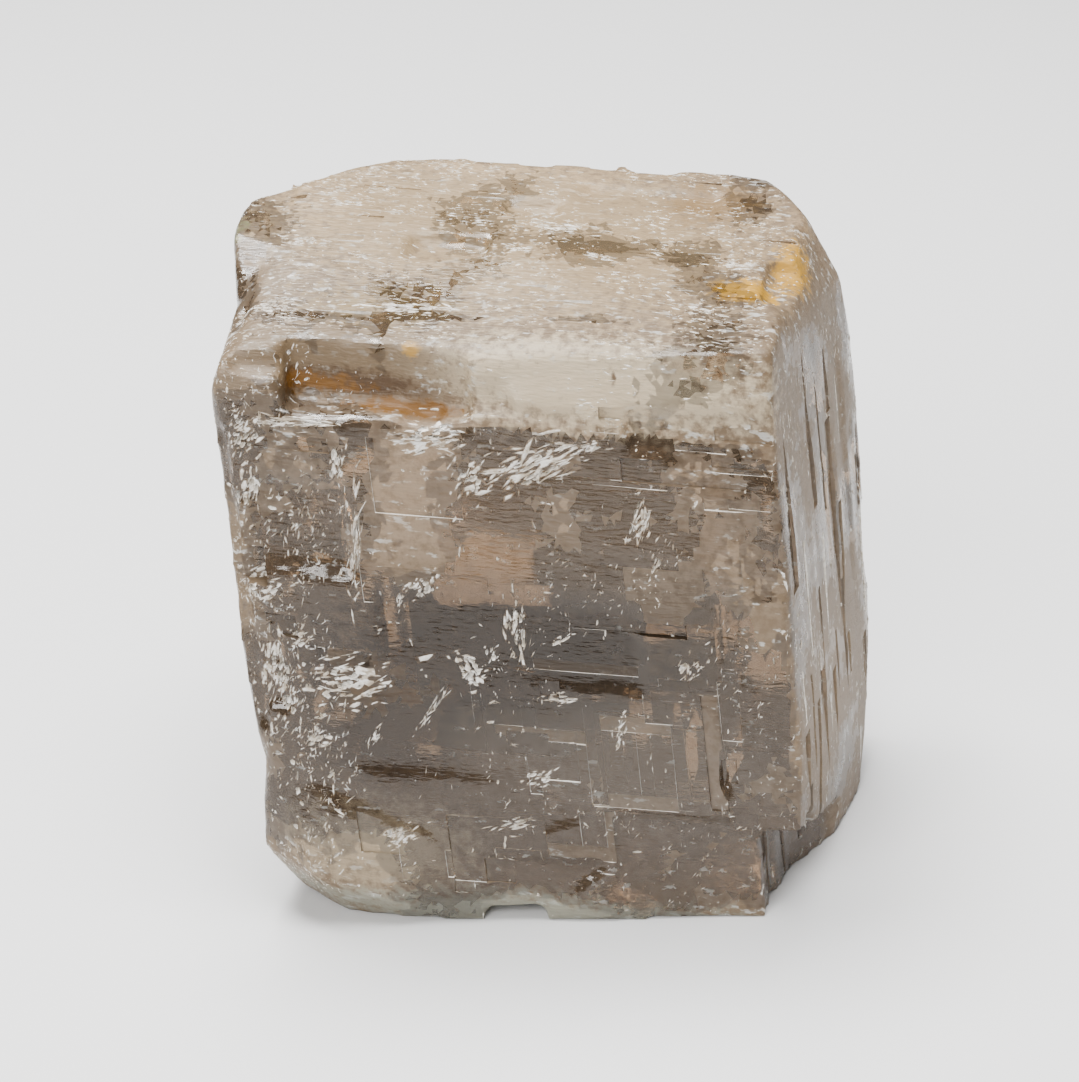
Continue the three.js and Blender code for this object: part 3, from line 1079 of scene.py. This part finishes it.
@dataclass
class Effect:
    """A shader node group under construction, with named inputs and outputs."""

    name: str

    def __post_init__(self) -> None:
        """Makes the empty group."""
        self.tree = bpy.data.node_groups.new(self.name, "ShaderNodeTree")
        self.entry = self.tree.nodes.new("NodeGroupInput")
        self.exit = self.tree.nodes.new("NodeGroupOutput")

    def takes(self, name: str, kind: str, default: object) -> None:
        """Adds an input.

        Args:
            name: Its name.
            kind: Float, Vector or Color.
            default: Its value where nothing is linked to it.
        """
        made = self.tree.interface.new_socket(name, in_out="INPUT", socket_type=f"NodeSocket{kind}")
        made.default_value = default

    def gives(self, name: str, kind: str, source: Socket) -> None:
        """Adds an output.

        Args:
            name: Its name.
            kind: Float, Vector or Color.
            source: The socket it hands on.
        """
        self.tree.interface.new_socket(name, in_out="OUTPUT", socket_type=f"NodeSocket{kind}")
        self.tree.links.new(source, self.exit.inputs[name])

    def input(self, name: str) -> Socket:
        """The group's own socket for one of its inputs."""
        return self.entry.outputs[name]


@dataclass
class Wiring:
    """Short ways to add nodes to a tree."""

    tree: bpy.types.NodeTree

    def feed(self, socket: Socket, value: object) -> None:
        """Links a socket to another, or sets its value.

        Args:
            socket: The socket that is fed.
            value: The socket that feeds it, or its value.
        """
        if isinstance(value, bpy.types.NodeSocket):
            self.tree.links.new(value, socket)
        else:
            socket.default_value = value

    def math(self, operation: str, *values: object, clamp: bool = False) -> Socket:
        """A Math node.

        Args:
            operation: What it works out.
            values: Its inputs, as sockets or numbers.
            clamp: True to keep the result between 0 and 1.

        Returns:
            Its result.
        """
        node = self.tree.nodes.new("ShaderNodeMath")
        node.operation = operation
        node.use_clamp = clamp
        for socket, value in zip(node.inputs, values):
            self.feed(socket, value)
        return node.outputs[0]

    def vector(self, operation: str, *values: object) -> Socket:
        """A Vector Math node.

        Args:
            operation: What it works out.
            values: Its inputs, as sockets or vectors.

        Returns:
            Its vector, or its number where it gives one.
        """
        node = self.tree.nodes.new("ShaderNodeVectorMath")
        node.operation = operation
        for socket, value in zip(node.inputs, values):
            self.feed(socket, value)
        gives_number = operation in ("DOT_PRODUCT", "LENGTH", "DISTANCE")
        return node.outputs["Value" if gives_number else "Vector"]

    def cleavage_place(self, axes: CleavageFrame) -> Socket:
        """The shaded point in cleavage millimetres.

        Args:
            axes: The stone's cleavage directions.

        Returns:
            It as a vector.
        """
        origin = self.tree.nodes.new("ShaderNodeTexCoord").outputs["Object"]
        apart = self.vector("SUBTRACT", origin, tuple(axes.corner * MM))
        joined = self.tree.nodes.new("ShaderNodeCombineXYZ")
        for socket, row in zip(joined.inputs, axes.matrix.to_3x3().inverted()):
            self.feed(socket, self.vector("DOT_PRODUCT", apart, tuple(row / MM)))
        return joined.outputs[0]

    def noise(self, place: Socket, scale: float, detail: float, roughness: float) -> Socket:
        """A Noise Texture.

        Args:
            place: Where it is read.
            scale: Its scale.
            detail: How many octaves it has.
            roughness: How strong the fine octaves are.

        Returns:
            Its value, from 0 to 1.
        """
        node = self.tree.nodes.new("ShaderNodeTexNoise")
        self.feed(node.inputs["Vector"], place)
        node.inputs["Scale"].default_value = scale
        node.inputs["Detail"].default_value = detail
        node.inputs["Roughness"].default_value = roughness
        return node.outputs["Fac"]

    def ramp(self, value: object, start: object, end: object) -> Socket:
        """A smooth step.

        Args:
            value: What is read.
            start: Where the step leaves 0.
            end: Where it reaches 1.

        Returns:
            The step.
        """
        node = self.tree.nodes.new("ShaderNodeMapRange")
        node.interpolation_type = "SMOOTHSTEP"
        self.feed(node.inputs["Value"], value)
        self.feed(node.inputs["From Min"], start)
        self.feed(node.inputs["From Max"], end)
        return node.outputs["Result"]

    def blend(self, share: Socket, below: object, above: object) -> Socket:
        """A mix of two colours.

        Args:
            share: How much of the second colour there is, from 0 to 1.
            below: The first colour.
            above: The second.

        Returns:
            The mixed colour.
        """
        node = self.tree.nodes.new("ShaderNodeMix")
        node.data_type = "RGBA"
        self.feed(node.inputs["Factor"], share)
        self.feed(node.inputs["A"], below)
        self.feed(node.inputs["B"], above)
        return node.outputs["Result"]

    def group(self, effect: Effect, **values: object) -> bpy.types.Node:
        """Places a shared effect.

        Args:
            effect: The effect.
            values: Its inputs by name.

        Returns:
            The placed node.
        """
        node = self.tree.nodes.new("ShaderNodeGroup")
        node.node_tree = effect.tree
        for name, value in values.items():
            self.feed(node.inputs[name], value)
        return node


class StoneEffects:
    """The effects that the stone's finishes share."""

    def __init__(self, axes: CleavageFrame) -> None:
        """Builds every effect once.

        Args:
            axes: The stone's cleavage directions.
        """
        self.axes = axes
        self.flecks = self.fleck_mask()
        self.patch = self.patch_mask()
        self.grain = self.grain_height()

    @staticmethod
    def fleck_mask() -> Effect:
        """Ragged flecks: noise, drawn out by Stretch, that counts where it is above Level.

        Returns:
            The effect, whose output is Mask.
        """
        effect = Effect("flecks")
        effect.takes("Place", "Vector", (0.0, 0.0, 0.0))
        effect.takes("Stretch", "Vector", (1.0, 1.0, 1.0))
        effect.takes("Level", "Float", 0.6)
        effect.takes("Softness", "Float", 0.05)
        wires = Wiring(effect.tree)
        drawn = wires.vector("MULTIPLY", effect.input("Place"), effect.input("Stretch"))
        value = wires.noise(drawn, scale=1.0, detail=3.0, roughness=0.62)
        top = wires.math("ADD", effect.input("Level"), effect.input("Softness"))
        effect.gives("Mask", "Float", wires.ramp(value, effect.input("Level"), top))
        return effect

    @staticmethod
    def patch_mask() -> Effect:
        """One ragged patch: Place is scaled by Tightness and shifted by Shift to its middle.

        Returns:
            The effect, whose output is Mask.
        """
        effect = Effect("patch")
        effect.takes("Place", "Vector", (0.0, 0.0, 0.0))
        effect.takes("Tightness", "Vector", (1.0, 1.0, 1.0))
        effect.takes("Shift", "Vector", (0.0, 0.0, 0.0))
        effect.takes("Ragged", "Float", 0.0)
        effect.takes("Strength", "Float", 1.0)
        wires = Wiring(effect.tree)
        apart = wires.vector(
            "MULTIPLY_ADD", effect.input("Place"), effect.input("Tightness"), effect.input("Shift")
        )
        edge = wires.math("SUBTRACT", effect.input("Ragged"), wires.vector("LENGTH", apart))
        solid = wires.math("MULTIPLY_ADD", edge, PATCH_STEEPNESS, PATCH_STEEPNESS, clamp=True)
        effect.gives("Mask", "Float", wires.math("MULTIPLY", solid, effect.input("Strength")))
        return effect

    @staticmethod
    def grain_height() -> Effect:
        """Fine relief: cleavage hairlines drawn out by Stretch.

        Returns:
            The effect, whose output is Height.
        """
        effect = Effect("cleavage grain")
        effect.takes("Place", "Vector", (0.0, 0.0, 0.0))
        effect.takes("Stretch", "Vector", (1.0, 1.0, 1.0))
        wires = Wiring(effect.tree)
        drawn = wires.vector("MULTIPLY", effect.input("Place"), effect.input("Stretch"))
        effect.gives("Height", "Float", wires.noise(drawn, scale=0.8, detail=1.5, roughness=0.6))
        return effect


# ---- Finishes ---------------------------------------------------------------------------


@dataclass(frozen=True)
class Absorption:
    """The smoky body colour that light takes on inside the stone."""

    colour: Colour = (0.58, 0.45, 0.30)
    density: float = 26.0


@dataclass(frozen=True)
class StainAndPaintedLight:
    """A patch of colour on the stone, placed in cleavage millimetres: mostly stains, and some painted
    shade and painted light.
    """

    centre: Triple
    radii: Triple
    colour: Colour
    strength: float = 1.0


RUST: Colour = (0.36, 0.175, 0.045)
OCHRE: Colour = (0.90, 0.52, 0.10)
UMBER: Colour = (0.17, 0.10, 0.05)
MOSS: Colour = (0.42, 0.50, 0.24)
# Painted shade colour, laid on the front's middle.
PAINTED_SHADE: Colour = (0.165, 0.115, 0.075)
TAN: Colour = (0.34, 0.24, 0.14)
# Painted light colour, laid on the upper band that leans back toward the light.
PAINTED_LIGHT_CREAM: Colour = (0.90, 0.76, 0.55)
SEA_GLASS: Colour = (0.58, 0.60, 0.50)
HONEY: Colour = (0.68, 0.505, 0.30)
# Painted light colour, laid on the upper front.
PAINTED_LIGHT_SAND: Colour = (0.66, 0.50, 0.36)
PUTTY: Colour = (0.60, 0.50, 0.40)
FAWN: Colour = (0.46, 0.345, 0.235)
AMBER: Colour = (0.50, 0.36, 0.18)
RUSSET: Colour = (0.44, 0.28, 0.13)
BUFF: Colour = (0.74, 0.60, 0.42)

# Stains of the stone, with a few patches of painted shade and painted light among them.
STAINS_AND_PAINTED_LIGHT: tuple[StainAndPaintedLight, ...] = (
    # Painted shade: the front's middle, which the see-through stone shows dark, is painted dark brown in
    # two patches.
    StainAndPaintedLight((42.0, 46.0, 0.0), (30.0, 14.0, 14.0), PAINTED_SHADE, 1.0),
    StainAndPaintedLight((62.0, 56.0, 0.0), (15.0, 15.0, 14.0), PAINTED_SHADE, 0.8),
    StainAndPaintedLight((44.0, 0.0, 38.0), (54.0, 4.0, 38.0), HONEY, 0.75),
    # Painted light: the upper front is painted lighter, as if lit through from the top.
    StainAndPaintedLight((34.0, 24.0, 0.0), (44.0, 14.0, 10.0), PAINTED_LIGHT_SAND, 0.5),
    # Painted light: the upper band, which leans back, is painted cream as if catching the light from
    # above.
    StainAndPaintedLight((26.0, 6.0, 2.0), (34.0, 7.5, 9.0), PAINTED_LIGHT_CREAM, 0.85),
    StainAndPaintedLight((24.0, 62.0, 0.0), (22.0, 13.0, 6.0), PUTTY, 0.35),
    StainAndPaintedLight((-3.0, 48.0, 26.0), (8.0, 46.0, 34.0), FAWN, 0.8),
    StainAndPaintedLight((62.0, 6.0, 3.0), (18.0, 7.0, 7.0), TAN, 0.8),
    StainAndPaintedLight((62.0, 10.0, 4.6), (16.0, 2.4, 2.6), UMBER, 0.9),
    StainAndPaintedLight((66.0, 10.4, 4.6), (9.0, 1.8, 2.4), RUST, 1.0),
    StainAndPaintedLight((52.0, 12.6, 4.2), (12.0, 1.5, 2.4), RUST, 1.0),
    StainAndPaintedLight((60.0, 1.0, 14.0), (16.0, 4.0, 8.0), AMBER, 0.8),
    StainAndPaintedLight((15.0, 0.0, 52.0), (9.0, 4.0, 9.0), RUSSET, 0.8),
    StainAndPaintedLight((6.5, 0.0, 23.0), (5.5, 4.0, 4.5), OCHRE),
    StainAndPaintedLight((0.8, 0.5, 33.5), (3.6, 4.0, 9.0), OCHRE, 0.9),
    StainAndPaintedLight((51.4, 3.5, 4.0), (1.8, 2.5, 2.0), OCHRE, 0.7),
    StainAndPaintedLight((84.0, 4.0, 33.0), (3.0, 5.0, 5.0), MOSS, 0.6),
    StainAndPaintedLight((64.0, 78.0, 1.5), (17.0, 9.0, 5.0), BUFF, 0.8),
    StainAndPaintedLight((45.0, 88.0, 6.0), (50.0, 5.0, 20.0), SEA_GLASS, 0.7),
    StainAndPaintedLight((22.8, 4.4, 1.2), (0.5, 1.8, 2.0), UMBER, 0.9),
)


@dataclass(frozen=True, kw_only=True)
class GlassyFinish:
    """A see-through finish that is the same all over; gloss is the strength of its sheen."""

    slot: Slot
    tint: Colour
    roughness: float
    transmission: float
    gloss: float = 0.5
    refraction: float = 1.6
    absorption: Absorption = Absorption()

    def build(self, effects: StoneEffects) -> bpy.types.Material:
        """Makes the material, under its slot's name.

        Args:
            effects: The shared effects.

        Returns:
            The material.
        """
        material = bpy.data.materials.new(self.slot.name)
        material.use_nodes = True
        tree = material.node_tree
        shader = tree.nodes["Principled BSDF"]
        self.paint(Wiring(tree), shader, effects)
        shader.inputs["IOR"].default_value = self.refraction
        shader.inputs["Specular IOR Level"].default_value = self.gloss
        shader.inputs["Transmission Weight"].default_value = self.transmission
        volume = tree.nodes.new("ShaderNodeVolumeAbsorption")
        volume.inputs["Color"].default_value = (*self.absorption.colour, 1.0)
        volume.inputs["Density"].default_value = self.absorption.density
        tree.links.new(volume.outputs[0], tree.nodes["Material Output"].inputs["Volume"])
        return material

    def paint(self, wires: Wiring, shader: bpy.types.Node, effects: StoneEffects) -> None:
        """Sets the finish's one colour and roughness.

        Args:
            wires: The material's wiring, for finishes that vary; not used by this one.
            shader: Its shader.
            effects: The shared effects, for finishes that vary; not used by this one.
        """
        shader.inputs["Base Color"].default_value = (*self.tint, 1.0)
        shader.inputs["Roughness"].default_value = self.roughness


@dataclass(frozen=True, kw_only=True)
class BruisedFinish(GlassyFinish):
    """A finish with dusky clouds, milky flecks, stains, patches of painted shade and painted light, and
    a cleavage grain.

    Clouds of dusk darken the tint. Milky flecks lie where the noise passes milk_level. relief is
    the strength of the grain, and grain_height its height in millimetres.
    """

    milk: Colour
    milk_level: float
    milk_roughness: float
    relief: float
    stains_and_painted_light: tuple[StainAndPaintedLight, ...] = STAINS_AND_PAINTED_LIGHT
    dusk: Colour = (0.80, 0.76, 0.70)
    dusk_ramp: Span = (0.35, 0.65)
    milk_stretch: Triple = (0.34, 0.8, 0.8)
    milk_softness: float = 0.08
    stain_and_light_rag: Span = (-1.8, 0.9)
    grain_stretch: Triple = (0.6, 2.4, 2.4)
    grain_height: float = 0.3

    def paint(self, wires: Wiring, shader: bpy.types.Node, effects: StoneEffects) -> None:
        """Feeds the finish's colour, roughness and relief.

        Args:
            wires: The material's wiring.
            shader: Its shader.
            effects: The shared effects.
        """
        place = wires.cleavage_place(effects.axes)
        milk = wires.group(
            effects.flecks,
            Place=place,
            Stretch=self.milk_stretch,
            Level=self.milk_level,
            Softness=self.milk_softness,
        ).outputs["Mask"]
        dusky = tuple(channel * shade for channel, shade in zip(self.tint, self.dusk))
        clouds = wires.noise(place, scale=0.7, detail=3.0, roughness=0.65)
        dusk = wires.ramp(clouds, *self.dusk_ramp)
        colour = wires.blend(dusk, (*self.tint, 1.0), (*dusky, 1.0))
        colour = wires.blend(milk, colour, (*self.milk, 1.0))
        ragged = wires.math("MULTIPLY_ADD", clouds, *self.stain_and_light_rag)
        # Lays the stains and the patches of painted shade and painted light over the colour.
        for stain_and_light in self.stains_and_painted_light:
            colour = self.lay_stain_and_light(wires, effects, stain_and_light, place, ragged, colour)
        wires.feed(shader.inputs["Base Color"], colour)
        extra = self.milk_roughness - self.roughness
        rough = wires.math("MULTIPLY_ADD", milk, extra, self.roughness)
        wires.feed(shader.inputs["Roughness"], rough)
        grain = wires.group(effects.grain, Place=place, Stretch=self.grain_stretch)
        bump = wires.tree.nodes.new("ShaderNodeBump")
        bump.inputs["Strength"].default_value = self.relief
        bump.inputs["Distance"].default_value = self.grain_height * MM
        wires.feed(bump.inputs["Height"], grain.outputs["Height"])
        wires.feed(shader.inputs["Normal"], bump.outputs["Normal"])

    @staticmethod
    def lay_stain_and_light(
        wires: Wiring,
        effects: StoneEffects,
        stain_and_light: StainAndPaintedLight,
        place: Socket,
        ragged: Socket,
        colour: Socket,
    ) -> Socket:
        """Lays one listed patch over a colour: a stain, painted shade or painted light.

        Args:
            wires: The material's wiring.
            effects: The shared effects.
            stain_and_light: The patch: a stain, painted shade or painted light.
            place: The shaded point in cleavage millimetres.
            ragged: How far the patch's edge is pushed out here.
            colour: The colour below it.

        Returns:
            The colour with the patch.
        """
        mask = wires.group(
            effects.patch,
            Place=place,
            Tightness=[1.0 / radius for radius in stain_and_light.radii],
            Shift=[-at / radius for at, radius in zip(stain_and_light.centre, stain_and_light.radii)],
            Ragged=ragged,
            Strength=stain_and_light.strength,
        ).outputs["Mask"]
        return wires.blend(mask, colour, (*stain_and_light.colour, 1.0))


BRUISED: Colour = (0.88, 0.85, 0.79)
POWDER: Colour = (0.90, 0.87, 0.82)

FINISHES: tuple[GlassyFinish, ...] = (
    BruisedFinish(
        slot=Slot.CLEAR,
        tint=(0.39, 0.295, 0.21),
        roughness=0.10,
        transmission=0.83,
        milk=BRUISED,
        milk_level=0.62,
        milk_roughness=0.5,
        relief=0.22,
    ),
    BruisedFinish(
        slot=Slot.VEIL,
        tint=(0.43, 0.33, 0.24),
        roughness=0.28,
        transmission=0.72,
        gloss=0.3,
        milk=BRUISED,
        milk_level=0.60,
        milk_roughness=0.6,
        relief=0.35,
    ),
    BruisedFinish(
        slot=Slot.HAZE,
        tint=(0.46, 0.35, 0.245),
        roughness=0.45,
        transmission=0.56,
        gloss=0.15,
        milk=BRUISED,
        milk_level=0.57,
        milk_roughness=0.7,
        relief=0.5,
    ),
    BruisedFinish(
        slot=Slot.FROST,
        tint=(0.86, 0.825, 0.765),
        roughness=0.5,
        transmission=0.10,
        gloss=0.2,
        milk=POWDER,
        milk_level=0.50,
        milk_roughness=0.7,
        relief=0.8,
        stains_and_painted_light=(),
    ),
    BruisedFinish(
        slot=Slot.FLECK,
        tint=(0.90, 0.865, 0.805),
        roughness=0.4,
        transmission=0.28,
        gloss=0.3,
        milk=(0.92, 0.90, 0.86),
        milk_level=0.54,
        milk_roughness=0.7,
        relief=0.8,
        stains_and_painted_light=(),
        dusk=(0.58, 0.51, 0.42),
    ),
    GlassyFinish(
        slot=Slot.CRACK,
        tint=(0.96, 0.94, 0.91),
        roughness=0.04,
        transmission=1.0,
    ),
)


# ---- Studio -----------------------------------------------------------------------------


@dataclass(frozen=True)
class Softbox:
    """A soft light that faces the stone: its place and size in metres, its power in watts."""

    name: str
    place: Triple
    size: Span
    power: float


@dataclass
class Studio:
    """Floor, soft lights and camera."""

    camera_place: Vector = field(default_factory=lambda: Vector((-3.8, -348.0, 206.8)))
    camera_pitch: float = math.radians(25.0)
    lens: float = 83.4
    sensor: float = 36.0
    look: str = "AgX - Medium High Contrast"
    bounces: int = 6
    soft_bounces: int = 2
    near: float = 10.0
    aim_m: Triple = (0.0, 0.0, 0.05)
    floor_size_m: float = 4.0
    floor_drop_m: float = 0.0001
    floor_grey: float = 0.72
    floor_roughness: float = 0.6
    air: Colour = (0.84, 0.82, 0.8)
    air_strength: float = 0.2
    softboxes: tuple[Softbox, ...] = (
        Softbox("back softbox", (-0.3, 0.45, 1.3), (0.8, 0.5), 26.0),
        Softbox("top softbox", (0.15, -0.1, 1.3), (0.6, 0.6), 13.0),
        Softbox("front fill", (-0.5, -1.1, 0.9), (1.0, 0.7), 20.0),
    )

    def floor(self) -> None:
        """Lays the pale floor."""
        shape = bmesh.new()
        bmesh.ops.create_grid(shape, x_segments=1, y_segments=1, size=self.floor_size_m)
        mesh = bpy.data.meshes.new("floor")
        shape.to_mesh(mesh)
        shape.free()
        material = bpy.data.materials.new("pale floor")
        material.use_nodes = True
        shader = material.node_tree.nodes["Principled BSDF"]
        shader.inputs["Base Color"].default_value = (*[self.floor_grey] * 3, 1.0)
        shader.inputs["Roughness"].default_value = self.floor_roughness
        mesh.materials.append(material)
        floor = add_object("floor", mesh)
        floor.location.z = -self.floor_drop_m

    def hang(self, softbox: Softbox) -> None:
        """Hangs one softbox.

        Args:
            softbox: The softbox.
        """
        lamp = bpy.data.lights.new(softbox.name, "AREA")
        lamp.shape = "RECTANGLE"
        lamp.size, lamp.size_y = softbox.size
        lamp.energy = softbox.power
        holder = bpy.data.objects.new(softbox.name, lamp)
        holder.location = softbox.place
        aim = Vector(self.aim_m) - holder.location
        holder.rotation_euler = aim.to_track_quat("-Z", "Y").to_euler()
        bpy.context.scene.collection.objects.link(holder)

    def fill(self) -> None:
        """Fills the room with a dim even light, and sets how light is traced and shown."""
        scene = bpy.context.scene
        scene.world = bpy.data.worlds.new("studio")
        scene.world.use_nodes = True
        background = scene.world.node_tree.nodes["Background"]
        background.inputs["Color"].default_value = (*self.air, 1.0)
        background.inputs["Strength"].default_value = self.air_strength
        scene.view_settings.look = self.look
        scene.cycles.max_bounces = self.bounces
        scene.cycles.transmission_bounces = self.bounces
        scene.cycles.diffuse_bounces = self.soft_bounces
        scene.cycles.glossy_bounces = self.soft_bounces

    def aim_camera(self) -> None:
        """Places the camera."""
        camera = bpy.data.cameras.new("camera")
        camera.lens = self.lens
        camera.sensor_fit = "HORIZONTAL"
        camera.sensor_width = self.sensor
        camera.clip_start = self.near * MM
        holder = bpy.data.objects.new("camera", camera)
        holder.location = self.camera_place * MM
        holder.rotation_euler = (math.radians(90.0) - self.camera_pitch, 0.0, 0.0)
        bpy.context.scene.collection.objects.link(holder)
        bpy.context.scene.camera = holder

    def build(self) -> None:
        """Sets up the studio."""
        self.floor()
        for softbox in self.softboxes:
            self.hang(softbox)
        self.fill()
        self.aim_camera()


def main() -> None:
    """Builds the stone and its studio, and reports each piece."""
    logging.basicConfig(level=logging.INFO, format="%(name)s: %(message)s")
    axes = CleavageFrame()
    effects = StoneEffects(axes)
    for finish in FINISHES:
        finish.build(effects)
    stone, flecks = CalciteBlock(axes).build(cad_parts[NODE])
    for piece in (stone, flecks):
        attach(piece, "root")
        log.info("piece %s rides on root", piece.name)
    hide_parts(NODE)
    Studio().build()


if __name__ == "__main__":
    main()
